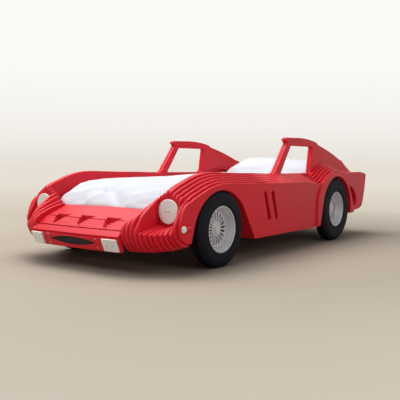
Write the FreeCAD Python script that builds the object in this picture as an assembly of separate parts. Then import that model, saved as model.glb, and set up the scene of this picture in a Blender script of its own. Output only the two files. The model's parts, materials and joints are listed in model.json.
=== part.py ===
"""Children's bed built as a low two-seat racing car from stacked, painted boards.

Each side is a stack of boards whose outlines step down from the tall cabin panel.
The nose between the sides is closed by three sloping hood boards and an upright fascia.
Frame: +Z up, nose towards -Y, width along X, origin on the floor under the middle of the bed.
All sizes are millimetres. In an outline, a point is (y, z).
"""
import FreeCAD, Part
import math
import os
from FreeCAD import Vector

# ---- bedding and the well it lies in ------------------------------------------------
MATTRESS_WIDTH = 900.0
MATTRESS_LENGTH = 2000.0
MATTRESS_HEIGHT = 150.0
MATTRESS_SIDE_GAP = 4.0     # each side, to the cabin panels
MATTRESS_HEAD_GAP = 10.0
MATTRESS_FOOT_GAP = 60.0     # room for the tucked quilt
MATTRESS_CORNER = 40.0
SOFT_GAP = 0.4               # between one soft piece and the next
QUILT_THICKNESS = 50.0
QUILT_CROWN = 14.0
QUILT_SIDE_DROP = 26.0
QUILT_INSET = 3.0            # inside the mattress's own width
QUILT_STEPS = 8              # sections each side of the middle
QUILT_TUCK = 138.0           # how far it hangs down the foot end
PILLOW_LENGTH = 385.0        # along the bed
PILLOW_WIDTH = 850.0
PILLOW_HEIGHT = 192.0
PILLOW_PINCH = 40.0          # half height of its edge below the crown
PILLOW_TO_QUILT = 8.0

# ---- boards --------------------------------------------------------------------------
BOARD = 19.0                 # thickness of the cabin and fender boards
NOSE_BOARD = 21.0            # thickness of the boards beside the hood
NOSE_RIBS = 6                # inside the cabin panel, each side
FULL_NOSE_RIBS = 4           # those that run past the headlamp recess
FENDER_RIBS = 5              # outside the cabin panel, each side
RIB_STEP = 11.4              # fall from one fender board to the next
FRONT_SETBACK = 4.6          # of each fender board's outline behind the last, at the front
REAR_SETBACK = 7.3           # and over the rear wheel
CROSS_BOARD = 22.0           # boards that tie the two sides
NOSE_ROUND = 6.0             # rounding of the nose boards' edges
FLARE_ROUND = 6.0

# ---- wheels and stance ---------------------------------------------------------------
HEAD_BEHIND_AXLE = 361.0     # rear axle to the head board's face
FRONT_OVERHANG = 528.0       # front axle to the middle of the hood lip
REAR_OVERHANG = 558.0        # rear axle to the tip of the tail
FRONT_TYRE_R = 201.0
REAR_TYRE_R = 224.0
TYRE_WIDTH = 88.0
TYRE_PROUD = 3.0             # of the outermost board
TYRE_FLAT = 1.0              # depth of the flat the tyre stands on
TYRE_SHOULDER = 20.0
RIM_R = 124.0
RIM_DEPTH = 80.0
RIM_SETBACK = 6.0            # of the rim edge from the tyre's face
SPOKE_PLATE_DEPTH = 56.0     # of the spoked plate from the tyre's face
SPOKE_PLATE = 9.0            # thickness
SPOKES = 20
HUB_R = 30.0
CAP_R = 15.0
CAP_HEIGHT = 14.0
WHEEL_MOUNT_R = 55.0

FRONT_ARCH_R = 252.0
FRONT_ARCH_Z = 153.0         # height of the arch's centre
REAR_ARCH_R = 240.0
REAR_ARCH_Z = 216.0
REAR_ARCH_SHIFT = -6.0       # arch centre from the rear axle

# ---- heights -------------------------------------------------------------------------
SILL_Z = 119.0               # bottom edge between the wheels
NOSE_BOTTOM_Z = 110.0
BELT_Z = 487.0               # top of the cabin panel beside the mattress
WINDOW_Z = 483.0
ROOF_Z = 719.0
DECK_Z = 487.0               # top of the tail
TAIL_BOTTOM_Z = 180.0
SLAT_TOP_Z = 255.0

# ---- cabin ---------------------------------------------------------------------------
PILLAR_AT = 0.5              # front pillar's foot, as a share of the wheelbase
PILLAR_RAKE = 152.0          # how far the pillar leans back to the roof
PILLAR_WIDTH = 58.0
WINDOW_HEAD = 54.0           # from the window's top edge to the roof line
REAR_PILLAR_FOOT = -236.0    # window's rear edge from the rear axle
REAR_PILLAR_RAKE = 32.0
WINDOW_CORNER = 7.0
INNER_ARCH_ABOVE_DECK = 16.0  # hollow over the rear wheel in the inner board
INNER_ARCH_HALF = 135.0
INNER_ARCH_FOOT_Z = 270.0

DOOR_FROM = 0.221            # where the fenders' steps fade, as shares of the wheelbase
DOOR_TO = 0.795
SLOPE_LIFT = 1.0             # of the faded slope over the edges of the steps

# ---- nose ----------------------------------------------------------------------------
HOOD_BOARD = 34.0            # depth of the hood boards, square to their face
LIP_BOARD = 12.0
NOSE_BOW_R = 4060.0          # plan radius of everything across the nose
HOOD_GAP = 3.0               # groove between hood boards
HOOD_REAR = (-265.0, 316.0)  # (y from the front axle, z) on the bed's middle line
HOOD_GROOVE_B = (-428.0, 257.0)
HOOD_GROOVE_A = (-494.0, 215.0)
HOOD_TIP = (-528.0, 188.0)
FASCIA_FOOT = (-499.0, 109.0)
GRILLE_LENGTH = 354.0
GRILLE_HEIGHT = 43.0
GRILLE_Z = 149.0
GRILLE_RECESS = 6.0
SCOOPS = 3
SCOOP_PITCH = 194.0
SCOOP_WIDTH = 114.0
SCOOP_REAR = -395.0
SCOOP_TIP = -473.0
SCOOP_TIP_R = 15.0
SCOOP_LAYERS = 3
SCOOP_LAYER = 9.0            # depth of each terrace
SCOOP_TERRACE = 5.0          # width of each terrace
NOSE_BULGE_Z = 203.0         # height of the foremost line of the nose
NOSE_TUCK = 90.0             # how far the nose draws back to its bottom edge
NOSE_END = -275.0            # rear ends of the nose ribs
RECESS_BACK = -306.0         # wall that the headlamp stands on

# ---- lamps and small parts -----------------------------------------------------------
HEADLAMP_R = 61.0
HEADLAMP_DEPTH = 12.0
HEADLAMP_BEVEL = 3.0
HEADLAMP_INSET = 14.0        # of its middle from the cabin panel's outer face
HEADLAMP_Z = 307.0
CORNER_LAMP_WIDTH = 91.0
CORNER_LAMP_INSET = 7.0      # from the fascia's end
CORNER_LAMP_LOW_Z = 117.0
CORNER_LAMP_HIGH_Z = 177.0
CORNER_LAMP_DEPTH = 9.0
INDICATOR_R = 15.0
INDICATOR_ROUND = 2.5
INDICATOR_DEPTH = 7.0
INDICATOR_AHEAD = -339.0
INDICATOR_Z = 229.0
POD_R = 18.0
POD_LENGTH = 86.0
POD_EMBED = 8.0              # of its middle line outside the outermost board
SCREW_HEAD_R = 4.0
SCREW_HEAD = 1.6
SCREW_R = 2.0
FASCIA_SCREW_LENGTH = 14.0
LAMP_SCREW_LENGTH = 6.0
LAMP_SCREW_SPREAD = 9.5      # each side of the lamp's middle

# ---- bed base ------------------------------------------------------------------------
SLATS = 14
SLAT_WIDTH = 70.0
SLAT = 18.0
RAIL_WIDTH = 30.0
RAIL_HEIGHT = 44.0
RAIL_BOLTS = 6
BOLT_R = 4.0
BOLT_HEAD_R = 9.0
BOLT_HEAD = 4.0

# ---- worked out ----------------------------------------------------------------------
WELL_LENGTH = MATTRESS_FOOT_GAP + MATTRESS_LENGTH + MATTRESS_HEAD_GAP
WHEELBASE = NOSE_END + WELL_LENGTH - HEAD_BEHIND_AXLE
LENGTH = FRONT_OVERHANG + WHEELBASE + REAR_OVERHANG
FRONT_AXLE = -LENGTH / 2 + FRONT_OVERHANG
REAR_AXLE = FRONT_AXLE + WHEELBASE
WELL_HALF = MATTRESS_WIDTH / 2 + MATTRESS_SIDE_GAP
PANEL_OUT = WELL_HALF + 2 * BOARD
SIDE_OUT = PANEL_OUT + FENDER_RIBS * BOARD
HOOD_HALF = WELL_HALF - NOSE_RIBS * NOSE_BOARD
HEADLAMP_X = PANEL_OUT - HEADLAMP_INSET
CORNER_LAMP_OUTER = HOOD_HALF - CORNER_LAMP_INSET
CORNER_LAMP_INNER = CORNER_LAMP_OUTER - CORNER_LAMP_WIDTH
WELL_FOOT = FRONT_AXLE + NOSE_END
MATTRESS_FOOT = WELL_FOOT + MATTRESS_FOOT_GAP
WELL_HEAD = WELL_FOOT + WELL_LENGTH
PILLAR_FOOT = PILLAR_AT * WHEELBASE
TYRE_FACE = SIDE_OUT + TYRE_PROUD
UPRIGHT = Vector(0, 0, 1)
QUARTER = 1 - math.sqrt(0.5)   # where a quarter round's middle lies between its tangents


def front(dy):
    """Y of a point given from the front axle."""
    return FRONT_AXLE + dy


def rear(dy):
    """Y of a point given from the rear axle."""
    return REAR_AXLE + dy


def share(part):
    """Y of a point at a share of the wheelbase."""
    return FRONT_AXLE + part * WHEELBASE


def point(yz, x=0.0):
    return Vector(x, yz[0], yz[1])


def outline(start, *spans):
    """Closed wire in the plane x = 0; a span is ("line" | "curve" | "arc", points...)."""
    edges = []
    here = start
    for kind, *points in spans:
        stops = [point(p) for p in [here] + points]
        if kind == "curve":
            spline = Part.BSplineCurve()
            spline.interpolate(stops)
            edges.append(spline.toShape())
        elif kind == "arc":
            edges.append(Part.Arc(*stops).toShape())
        else:
            edges += [Part.LineSegment(a, b).toShape() for a, b in zip(stops, stops[1:])]
        here = points[-1]
    if point(here).distanceToPoint(point(start)) > 0.001:
        edges.append(Part.LineSegment(point(here), point(start)).toShape())
    return Part.Wire(edges)


def plank(wire, x_from, x_to):
    """The board that fills a wire between two widths."""
    face = Part.Face(wire)
    face.translate(Vector(x_from, 0, 0))
    return face.extrude(Vector(x_to - x_from, 0, 0))


def box(x, y, z):
    """Block between pairs of limits."""
    return Part.makeBox(x[1] - x[0], y[1] - y[0], z[1] - z[0], Vector(x[0], y[0], z[0]))


def rounded(board, radius, *widths):
    """Board with the edges of its faces at these widths rounded."""
    edges = [e for e in board.Edges for x in widths
             if abs(e.BoundBox.XMin - x) < 0.01 and abs(e.BoundBox.XMax - x) < 0.01]
    return board.makeFillet(radius, edges)


def other_side(shape):
    return shape.mirror(Vector(0, 0, 0), Vector(1, 0, 0))


def tangent_point(outside, centre, radius, turn):
    """Where a straight line from a point touches a circle; turn is +1 or -1."""
    dy, dz = outside[0] - centre[0], outside[1] - centre[1]
    angle = math.atan2(dz, dy) + turn * math.acos(radius / math.hypot(dy, dz))
    return centre[0] + radius * math.cos(angle), centre[1] + radius * math.sin(angle)


def save(name, *shapes):
    shape = shapes[0] if len(shapes) == 1 else Part.makeCompound(list(shapes))
    shape.exportStep("parts/%s.step" % name)
    print("%-24s %2d solid(s) %10.1f cm3" % (name, len(shape.Solids), shape.Volume / 1000))


# ---- side boards ---------------------------------------------------------------------
def front_arch(foot_z):
    """Spans over the front wheel, from the sill forwards to the nose's bottom edge."""
    centre = (front(0), FRONT_ARCH_Z)
    back_foot = (front(FRONT_ARCH_R + 69), SILL_Z)
    nose_foot = (front(-FRONT_ARCH_R - 12), foot_z)
    back = tangent_point(back_foot, centre, FRONT_ARCH_R, 1)
    ahead = tangent_point(nose_foot, centre, FRONT_ARCH_R, -1)
    top = (centre[0], centre[1] + FRONT_ARCH_R)
    return [("line", back_foot, back), ("arc", top, ahead), ("line", nose_foot)]


def rear_arch(reach=0.0):
    """Spans over the rear wheel, from the tail's bottom edge forwards to the sill."""
    centre = (rear(REAR_ARCH_SHIFT), REAR_ARCH_Z)
    radius = REAR_ARCH_R + reach
    fall = REAR_ARCH_Z - TAIL_BOTTOM_Z
    back_foot = (centre[0] + math.sqrt(radius ** 2 - fall ** 2), TAIL_BOTTOM_Z)
    fore_foot = (centre[0] - radius - 34, SILL_Z)
    ahead = tangent_point(fore_foot, centre, radius, -1)
    top = (centre[0], centre[1] + radius)
    return [("line", back_foot), ("arc", top, ahead), ("line", fore_foot)]


def underside(bulge, foot_z):
    """Curve from the nose's bottom edge forwards and up to its foremost line."""
    fall = NOSE_BULGE_Z - foot_z
    return ("curve", (front(bulge + 0.62 * NOSE_TUCK), NOSE_BULGE_Z - 0.93 * fall),
            (front(bulge + 0.32 * NOSE_TUCK), NOSE_BULGE_Z - 0.68 * fall),
            (front(bulge + 0.09 * NOSE_TUCK), NOSE_BULGE_Z - 0.35 * fall),
            (front(bulge), NOSE_BULGE_Z))


def tail_spans():
    """Tip of the tail down its raked end to the bottom behind the rear wheel."""
    tip = rear(REAR_OVERHANG)
    return [("curve", (tip - 4, DECK_Z - 30), (tip - 15, DECK_Z - 78),
             (tip - 28, DECK_Z - 133), (tip - 49, DECK_Z - 195), (tip - 71, DECK_Z - 251)),
            ("curve", (tip - 94, TAIL_BOTTOM_Z + 37), (tip - 126, TAIL_BOTTOM_Z + 26),
             (tip - 169, TAIL_BOTTOM_Z + 20), (tip - 226, TAIL_BOTTOM_Z + 15)),
            ("line", (tip - 245, TAIL_BOTTOM_Z - 2))]


# Front outline of each board: foremost line, lip of the headlamp recess, floor at its back
# wall and height of the bottom edge, for boards from the first short nose rib outwards.
FENDER_NOSE = {1: (-410, (-378, 220), 239, 117), 2: (-395, (-358, 232), 248, 122),
               3: (-379, (-336, 252), 268, 129), 4: (-369, None, None, 136),
               5: (-353, None, None, 151)}
PANEL_NOSE = {1: (-441, (-421, 210), 236, 112), 2: (-429, (-401, 213), 236, 114)}
SHORT_RIB_NOSE = {5: (-466, (-460, 213), 243), 6: (-455, (-448, 212), 238)}

# Top of the first fender board, in front from the front axle and behind from the rear one.
CREST_FRONT = [(-286, 415), (-263, 427), (-213, 446), (-158, 466), (-103, 482), (-45, 493),
               (44, 498), (138, 496), (339, 491)]
CREST_DOOR = [(0.392, BELT_Z - 2), (0.514, BELT_Z - 2), (0.612, BELT_Z - 3), (0.716, BELT_Z - 8)]
CREST_CORNER = 26            # height of the rounded corner over the headlamp
CREST_HAUNCH = [(-298, 473), (-248, 492), (-195, 521), (-141, 543), (-82, 556), (-27, 556),
                (32, 549), (102, 534)]


def recess(lip, floor_z, top, corner):
    """Spans over the lip, back along the bowl's floor and up the headlamp's wall to the top."""
    wall = front(RECESS_BACK)
    bend = (wall + QUARTER * (top[0] - wall), top[1] - QUARTER * corner)
    return [("curve", (front(lip[0]), lip[1])),
            ("line", (wall, floor_z), (wall, top[1] - corner)), ("arc", bend, top)]


def top_edge(drop, door_drop):
    """Top edge outside the cabin panel, from the nose back to the tip of the tail."""
    number = drop / RIB_STEP
    ahead, behind = FRONT_SETBACK * number, REAR_SETBACK * number
    beside = [(front(y + ahead), z - drop) for y, z in CREST_FRONT]
    door = [(share(part), z - door_drop) for part, z in CREST_DOOR]
    haunch = [(rear(y + behind), z - drop) for y, z in CREST_HAUNCH]
    fade = [(rear(142 + behind), DECK_Z + 28 - 0.6 * drop),
            (rear(192 + behind), DECK_Z + 13 - 0.3 * drop),
            (rear(253 + behind), DECK_Z + 3 - 0.1 * drop), (rear(380), DECK_Z),
            (rear(480), DECK_Z - 4), (rear(REAR_OVERHANG), DECK_Z - 20)]
    return beside[0], ("curve", *beside[1:], *door, *haunch, *fade)


def door_slope():
    """What the boards lose beside the door, where their steps fade into one slope."""
    start, crest = top_edge(0, 0)
    above = outline(start, crest, ("line", (rear(REAR_OVERHANG), ROOF_Z), (start[0], ROOF_Z)))
    face = Part.Face(above)
    face.translate(Vector(PANEL_OUT - BOARD, 0, SLOPE_LIFT + RIB_STEP))
    boards = FENDER_RIBS + 2
    wedge = face.extrude(Vector(boards * BOARD, 0, -boards * RIB_STEP))
    return wedge.common(box((0, 2 * SIDE_OUT), (share(DOOR_FROM), share(DOOR_TO)), (0, ROOF_Z)))


def fender_rib(number):
    bulge, lip, floor_z, foot_z = FENDER_NOSE[number]
    top_start, top = top_edge(number * RIB_STEP, (number - 1) * RIB_STEP)
    if lip:
        nose = recess(lip, floor_z, top_start, CREST_CORNER)
    elif number == 4:
        nose = [("curve", (front(-365), 249), (front(-348), 279), (front(-325), 315),
                 (front(-300), top_start[1] - 23), top_start)]
    else:
        nose = [("curve", (front(-352), 246), (front(-343), 275), (front(-325), 315),
                 (front(-301), top_start[1] - 17), top_start)]
    start = (front(bulge + NOSE_TUCK), foot_z)
    wire = outline(start, underside(bulge, foot_z), *nose, top, *tail_spans(), *rear_arch(),
                   *front_arch(foot_z))
    inner = PANEL_OUT + (number - 1) * BOARD
    return plank(wire, inner, inner + BOARD).cut(door_slope())


def vent_hole():
    """D-shaped opening in the tail's side, behind the rear wheel."""
    wire = outline((rear(232), 380), ("curve", (rear(273), 374), (rear(313), 353),
                   (rear(349), 315), (rear(365), 277), (rear(353), 245), (rear(317), 228)),
                   ("curve", (rear(296), 264), (rear(269), 318), (rear(242), 359),
                    (rear(232), 380)))
    return plank(wire, SIDE_OUT - 2 * BOARD, SIDE_OUT + 1)


def louvre_slots():
    """Two raked slots in the door's side."""
    slots = []
    for top_fore, top_back, foot_fore, foot_back in ((416, 448, 466, 500), (499, 536, 551, 580)):
        wire = outline((front(foot_fore), 222),
                       ("arc", (front(foot_fore + 16), 213), (front(foot_back), 223)),
                       ("line", (front(top_back), 374)),
                       ("arc", (front(top_back - 16), 383), (front(top_fore), 373)),
                       ("line", (front(foot_fore), 222)))
        slots.append(plank(wire, SIDE_OUT - 2 * BOARD, SIDE_OUT + 1))
    return slots


def window():
    """Hole for the side window, with small rounded corners."""
    low_fore = (front(PILLAR_FOOT + PILLAR_WIDTH + 4), WINDOW_Z)
    high_fore = (front(PILLAR_FOOT + PILLAR_WIDTH + 0.93 * PILLAR_RAKE), ROOF_Z - WINDOW_HEAD)
    low_back = (rear(REAR_PILLAR_FOOT), WINDOW_Z)
    high_back = (rear(REAR_PILLAR_FOOT + REAR_PILLAR_RAKE), ROOF_Z - WINDOW_HEAD)
    hole = plank(outline(low_fore, ("line", high_fore, high_back, low_back, low_fore)),
                 WELL_HALF - 1, PANEL_OUT + 1)
    corners = [e for e in hole.Edges if abs(e.tangentAt(e.FirstParameter).x) > 0.99]
    return hole.makeFillet(WINDOW_CORNER, corners)


def cabin_spans():
    """Belt, front pillar, roof and sloping back, from the front crest to the tail's tip."""
    roof_front = front(PILLAR_FOOT + PILLAR_RAKE)
    return [("curve", *[(front(y), z) for y, z in CREST_FRONT[1:]], (share(0.392), BELT_Z),
             (front(PILLAR_FOOT - 75), BELT_Z - 5)),
            ("curve", (front(PILLAR_FOOT - 30), BELT_Z - 4), (front(PILLAR_FOOT + 4), BELT_Z + 14)),
            ("line", (roof_front, ROOF_Z - 38), (roof_front - 22, ROOF_Z - 20)),
            ("curve", (roof_front - 14, ROOF_Z - 8), (roof_front + 20, ROOF_Z - 2),
             ((roof_front + rear(-241)) / 2, ROOF_Z + 1), (rear(-241), ROOF_Z - 7),
             (rear(-141), ROOF_Z - 22)),
            ("line", (rear(-110), ROOF_Z - 39)),
            ("curve", (rear(1), ROOF_Z - 63), (rear(142), ROOF_Z - 101), (rear(259), ROOF_Z - 139)),
            ("line", (rear(293), ROOF_Z - 144)),
            ("curve", (rear(392), ROOF_Z - 196), (rear(500), DECK_Z - 8)),
            ("line", (rear(REAR_OVERHANG), DECK_Z - 20))]


def cabin_panel(number):
    """Inner (1) or outer (2) board of the tall cabin panel."""
    bulge, lip, floor_z, foot_z = PANEL_NOSE[number]
    crest = (front(CREST_FRONT[0][0]), CREST_FRONT[0][1])
    start = (front(bulge + NOSE_TUCK), foot_z)
    foot = ("line", (rear(REAR_OVERHANG - 245), SILL_Z), (front(-200), SILL_Z),
            (front(-250), foot_z))
    wire = outline(start, underside(bulge, foot_z),
                   *recess(lip, floor_z, crest, CREST_CORNER), *cabin_spans(), *tail_spans(), foot)
    inner = WELL_HALF + (number - 1) * BOARD
    panel = plank(wire, inner, inner + BOARD).cut(window())
    if number == 1:
        panel = panel.cut(inner_arch())
    return panel


def inner_arch():
    """Hollow over the rear wheel, cut through the inner board only."""
    middle = rear(-16)
    top_z = DECK_Z + INNER_ARCH_ABOVE_DECK
    wire = outline((middle - INNER_ARCH_HALF - 60, INNER_ARCH_FOOT_Z),
                   ("curve", (middle - INNER_ARCH_HALF - 30, top_z - 80),
                    (middle - INNER_ARCH_HALF, top_z - 26), (middle, top_z),
                    (middle + INNER_ARCH_HALF, top_z - 26),
                    (middle + INNER_ARCH_HALF + 30, top_z - 80),
                    (middle + INNER_ARCH_HALF + 60, INNER_ARCH_FOOT_Z)))
    return plank(wire, WELL_HALF - 1, WELL_HALF + BOARD)


# Top edge of each full nose rib: its shoulder points, from the foremost line back to its end.
FULL_RIBS = {1: (-496, [(-485, 240), (-459, 263), (-419, 280), (-387, 292), (-350, 304),
                        (-302, 315)]),
             2: (-490, [(-480, 244), (-459, 267), (-435, 282), (-401, 297), (-372, 308),
                        (-342, 318), (-300, 331)]),
             3: (-483, [(-477, 234), (-461, 267), (-437, 288), (-410, 304), (-389, 315),
                        (-362, 328), (-325, 345), (-300, 354)]),
             4: (-477, [(-472, 220), (-457, 244), (-438, 272), (-415, 296), (-372, 327),
                        (-323, 360), (-300, 372)])}
SHORT_RIB_TOP = {5: 386, 6: 398}
SHORT_RIB_CORNER = 13


def rounded_end(top_z):
    """A rib's end: over its rounded tip and down to the bottom edge."""
    return [("curve", (front(NOSE_END - 9), top_z - 1), (front(NOSE_END), top_z - 16)),
            ("line", (front(NOSE_END), NOSE_BOTTOM_Z))]


def nose_rib(number):
    if number <= FULL_NOSE_RIBS:
        bulge, shoulder = FULL_RIBS[number]
        top = [("curve", *[(front(y), z) for y, z in shoulder])]
        end_z = shoulder[-1][1]
    else:
        bulge, lip, floor_z = SHORT_RIB_NOSE[number]
        end_z = SHORT_RIB_TOP[number]
        top = recess(lip, floor_z, (front(RECESS_BACK + SHORT_RIB_CORNER), end_z), SHORT_RIB_CORNER)
    start = (front(bulge + NOSE_TUCK), NOSE_BOTTOM_Z)
    wire = outline(start, underside(bulge, NOSE_BOTTOM_Z), *top, *rounded_end(end_z))
    inner = HOOD_HALF + (number - 1) * NOSE_BOARD
    return rounded(plank(wire, inner, inner + NOSE_BOARD), NOSE_ROUND, inner, inner + NOSE_BOARD)


FLARE_OUTER = [(-330, 125), (-327, 181), (-322, 278), (-295, 357), (-228, 427), (-151, 462),
               (-72, 477), (10, 472), (86, 452), (162, 408), (217, 343), (249, 264), (256, 202),
               (254, 180)]
FLARE = 11.0                 # how far the rear wheel's flare stands out


def wheel_flare():
    """Raised lip round the rear wheel opening."""
    centre = (rear(REAR_ARCH_SHIFT), REAR_ARCH_Z)
    back_foot, arc, fore_foot = rear_arch()
    points = [(rear(y), z) for y, z in FLARE_OUTER]
    wire = outline(points[0], ("curve", *points[1:]), back_foot, arc,
                   ("line", (fore_foot[1][0], points[0][1])))
    return rounded(plank(wire, SIDE_OUT, SIDE_OUT + FLARE), FLARE_ROUND, SIDE_OUT + FLARE)


# ---- nose between the sides ----------------------------------------------------------
def across_nose(profile):
    """Turn a closed (y, z) profile from the middle line round the nose's plan curve."""
    face = Part.Face(outline(profile[0], ("line", *profile[1:], profile[0])))
    axis = Vector(0, front(HOOD_TIP[0]) + NOSE_BOW_R, 0)
    sweep = 2 * math.degrees(math.asin(1.2 * HOOD_HALF / NOSE_BOW_R))
    face.rotate(axis, UPRIGHT, -sweep / 2)
    solid = face.revolve(axis, UPRIGHT, sweep)
    return solid.common(box((-HOOD_HALF, HOOD_HALF), (-LENGTH, front(NOSE_END)), (0, ROOF_Z)))


def along(a, b, distance):
    """Point at a distance from a on the line towards b."""
    span = math.hypot(b[0] - a[0], b[1] - a[1])
    return a[0] + (b[0] - a[0]) * distance / span, a[1] + (b[1] - a[1]) * distance / span


def below(a, b, depth):
    """The line a-b moved square to itself, downwards and back."""
    span = math.hypot(b[0] - a[0], b[1] - a[1])
    dy, dz = (b[1] - a[1]) / span * depth, -(b[0] - a[0]) / span * depth
    sign = -1 if dz > 0 else 1
    return [(p[0] + sign * dy, p[1] + sign * dz) for p in (a, b)]


def hood_point(name_value):
    return front(name_value[0]), name_value[1]


def meet(a, b, c, d):
    """Where the lines a-b and c-d cross."""
    r = (b[0] - a[0], b[1] - a[1])
    s = (d[0] - c[0], d[1] - c[1])
    t = ((c[0] - a[0]) * s[1] - (c[1] - a[1]) * s[0]) / (r[0] * s[1] - r[1] * s[0])
    return a[0] + t * r[0], a[1] + t * r[1]


def hood_board(rear_edge, front_edge, depth):
    """Sloping board across the nose, its ends square to its face."""
    a = hood_point(rear_edge)
    b = hood_point(front_edge)
    b = along(a, b, math.dist(a, b) - HOOD_GAP)
    low = below(a, b, depth)
    return across_nose([a, b, low[1], low[0]])


def hood_shapes():
    """Rear, scoop and lip boards; each is trimmed where the one ahead lies under it."""
    rear_board = hood_board((HOOD_REAR[0] + 30, HOOD_REAR[1] + 10.4), HOOD_GROOVE_B, HOOD_BOARD)
    scoop_board = hood_board(HOOD_GROOVE_B, HOOD_GROOVE_A, HOOD_BOARD).cut(rear_board)
    lip = hood_board(HOOD_GROOVE_A, (HOOD_TIP[0], HOOD_TIP[1]), LIP_BOARD).cut(scoop_board)
    for pocket in scoop_pockets():
        rear_board = rear_board.cut(pocket)
        scoop_board = scoop_board.cut(pocket)
    return rear_board, scoop_board, lip


def above_hood(depth):
    """Everything over the hood's surface lowered by a depth."""
    a, b, c = (hood_point(p) for p in (HOOD_REAR, HOOD_GROOVE_B, HOOD_GROOVE_A))
    low = [(p[0], p[1] - depth) for p in (a, b, c)]
    return across_nose([low[0], low[1], low[2], (c[0], ROOF_Z), (a[0], ROOF_Z)])


def scoop_outline(inset):
    """Plan of a scoop: straight rear edge, drawn in to a rounded point ahead."""
    half = SCOOP_WIDTH / 2 - inset
    tip_r = SCOOP_TIP_R - inset / 2
    tip = (0.0, SCOOP_TIP + inset + tip_r)
    corner = (half, SCOOP_REAR)
    touch = tangent_point(corner, tip, tip_r, -1)
    stops = [Vector(half, SCOOP_REAR, 0), Vector(touch[0], touch[1], 0),
             Vector(0, SCOOP_TIP + inset, 0), Vector(-touch[0], touch[1], 0),
             Vector(-half, SCOOP_REAR, 0)]
    return Part.Wire([Part.LineSegment(stops[0], stops[1]).toShape(),
                      Part.Arc(stops[1], stops[2], stops[3]).toShape(),
                      Part.LineSegment(stops[3], stops[4]).toShape(),
                      Part.LineSegment(stops[4], stops[0]).toShape()])


def scoop_pockets():
    """Terraced hollows of the scoops, side by side across the hood."""
    pockets = []
    for place in range(SCOOPS):
        middle = (place - (SCOOPS - 1) / 2) * SCOOP_PITCH
        for layer in range(SCOOP_LAYERS):
            face = Part.Face(scoop_outline(layer * SCOOP_TERRACE))
            face.translate(Vector(middle, FRONT_AXLE, 0))
            column = face.extrude(Vector(0, 0, ROOF_Z))
            pockets.append(column.common(above_hood((layer + 1) * SCOOP_LAYER)))
    return pockets


def fascia_line():
    """Front face of the fascia on the middle line: top under the lip, and foot."""
    tip, groove = hood_point(HOOD_TIP), hood_point(HOOD_GROOVE_A)
    lip_low = below(groove, tip, LIP_BOARD)
    foot = hood_point(FASCIA_FOOT)
    top = meet(lip_low[0], lip_low[1], foot, (tip[0] + 1, tip[1] - 10))
    return top, foot


def on_fascia(z, out=0.0):
    """Point of the fascia's front face at a height, and a distance out from it."""
    top, foot = fascia_line()
    share = (z - foot[1]) / (top[1] - foot[1])
    span = math.dist(top, foot)
    square = (-(top[1] - foot[1]) / span, (top[0] - foot[0]) / span)
    return (foot[0] + share * (top[0] - foot[0]) + out * square[0],
            z + out * square[1])


def fascia_layer(z_low, z_high, out_from, out_to):
    """Slab following the fascia between two heights and two distances from its face."""
    return across_nose([on_fascia(z_low, out_from), on_fascia(z_high, out_from),
                        on_fascia(z_high, out_to), on_fascia(z_low, out_to)])


def lens(extra=0.0):
    """Solid lens shape of the grille opening, running along Y."""
    half, rise = GRILLE_LENGTH / 2 + extra, GRILLE_HEIGHT / 2 + extra
    ends = Vector(-half, 0, GRILLE_Z), Vector(half, 0, GRILLE_Z)
    upper = Part.Arc(ends[0], Vector(0, 0, GRILLE_Z + rise), ends[1]).toShape()
    lower = Part.Arc(ends[1], Vector(0, 0, GRILLE_Z - rise), ends[0]).toShape()
    face = Part.Face(Part.Wire([upper, lower]))
    face.translate(Vector(0, -LENGTH, 0))
    return face.extrude(Vector(0, LENGTH, 0))


def fascia_shapes():
    top, foot = fascia_line()
    tip, groove = hood_point(HOOD_TIP), hood_point(HOOD_GROOVE_A)
    lip_low = below(groove, tip, LIP_BOARD)
    back_foot = on_fascia(foot[1], -CROSS_BOARD)
    back_high = on_fascia(top[1], -CROSS_BOARD)
    back_top = meet(lip_low[0], lip_low[1], back_foot, back_high)
    fascia = across_nose([foot, top, back_top, back_foot]).cut(lens())
    grille = fascia_layer(foot[1], top[1] - 4, -CROSS_BOARD, -GRILLE_RECESS).common(lens(-0.3))
    return fascia, grille


def corner_lamp():
    """Flat rectangular lamp on the fascia's outer end (the +X one)."""
    layer = fascia_layer(CORNER_LAMP_LOW_Z, CORNER_LAMP_HIGH_Z, 0, CORNER_LAMP_DEPTH)
    return layer.common(box((CORNER_LAMP_INNER, CORNER_LAMP_OUTER), (-LENGTH, 0), (0, ROOF_Z)))


# ---- lamps on the sides --------------------------------------------------------------
def headlamp():
    disc = Part.makeCylinder(HEADLAMP_R, HEADLAMP_DEPTH, Vector(0, 0, 0), Vector(0, -1, 0))
    rim = [e for e in disc.Edges if e.BoundBox.YMax < -HEADLAMP_DEPTH + 0.01]
    disc = disc.makeChamfer(HEADLAMP_BEVEL, rim)
    disc.translate(Vector(HEADLAMP_X, front(RECESS_BACK), HEADLAMP_Z))
    return disc


def indicator_centre():
    return Vector(SIDE_OUT + POD_EMBED, front(INDICATOR_AHEAD), INDICATOR_Z)


def outside_the_boards(shape):
    return shape.common(box((SIDE_OUT, SIDE_OUT + 4 * POD_R), (-LENGTH, 0), (0, ROOF_Z)))


def indicator_pod():
    """Low teardrop that carries the indicator and dies into the outermost board."""
    nose = Vector(0, 0, POD_R)
    tail = Vector(0, POD_LENGTH, 0)
    back = Part.Arc(nose, Vector(0, 0.5 * POD_LENGTH, 0.86 * POD_R), tail).toShape()
    axis = Part.LineSegment(tail, Vector(0, 0, 0)).toShape()
    front_face = Part.LineSegment(Vector(0, 0, 0), nose).toShape()
    half = Part.Face(Part.Wire([back, axis, front_face]))
    pod = half.revolve(Vector(0, 0, 0), Vector(0, 1, 0), 360)
    pod.translate(indicator_centre())
    return outside_the_boards(pod)


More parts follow.
